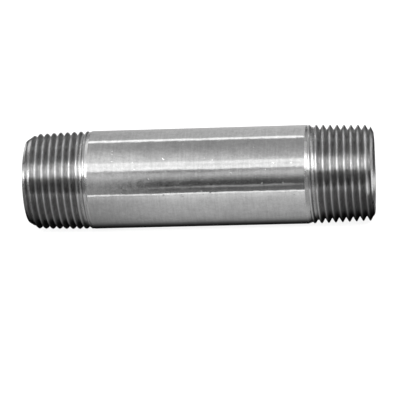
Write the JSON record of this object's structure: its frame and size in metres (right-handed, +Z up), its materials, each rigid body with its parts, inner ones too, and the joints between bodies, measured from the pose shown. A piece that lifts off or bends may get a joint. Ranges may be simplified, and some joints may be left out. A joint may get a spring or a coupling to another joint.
{
  "type": "threaded pipe nipple",
  "caption": "Short stainless steel pipe with an outside right-hand taper pipe thread on each end and an open bore, for joining two female-threaded fittings.",
  "frame": {"origin": "middle of the pipe, on its axis", "axes": "+X along the pipe's axis towards one end; +Z up when it lies down; +Y completes the right-handed frame"},
  "size_m": [0.0914, 0.0258, 0.0258],
  "materials": {
    "stainless_steel": "satin stainless steel with faint turning lines round the pipe, and bright machined threads"
  },
  "bodies": {
    "root": {"pipe_nipple": "stainless_steel"}
  },
  "joints": []
}
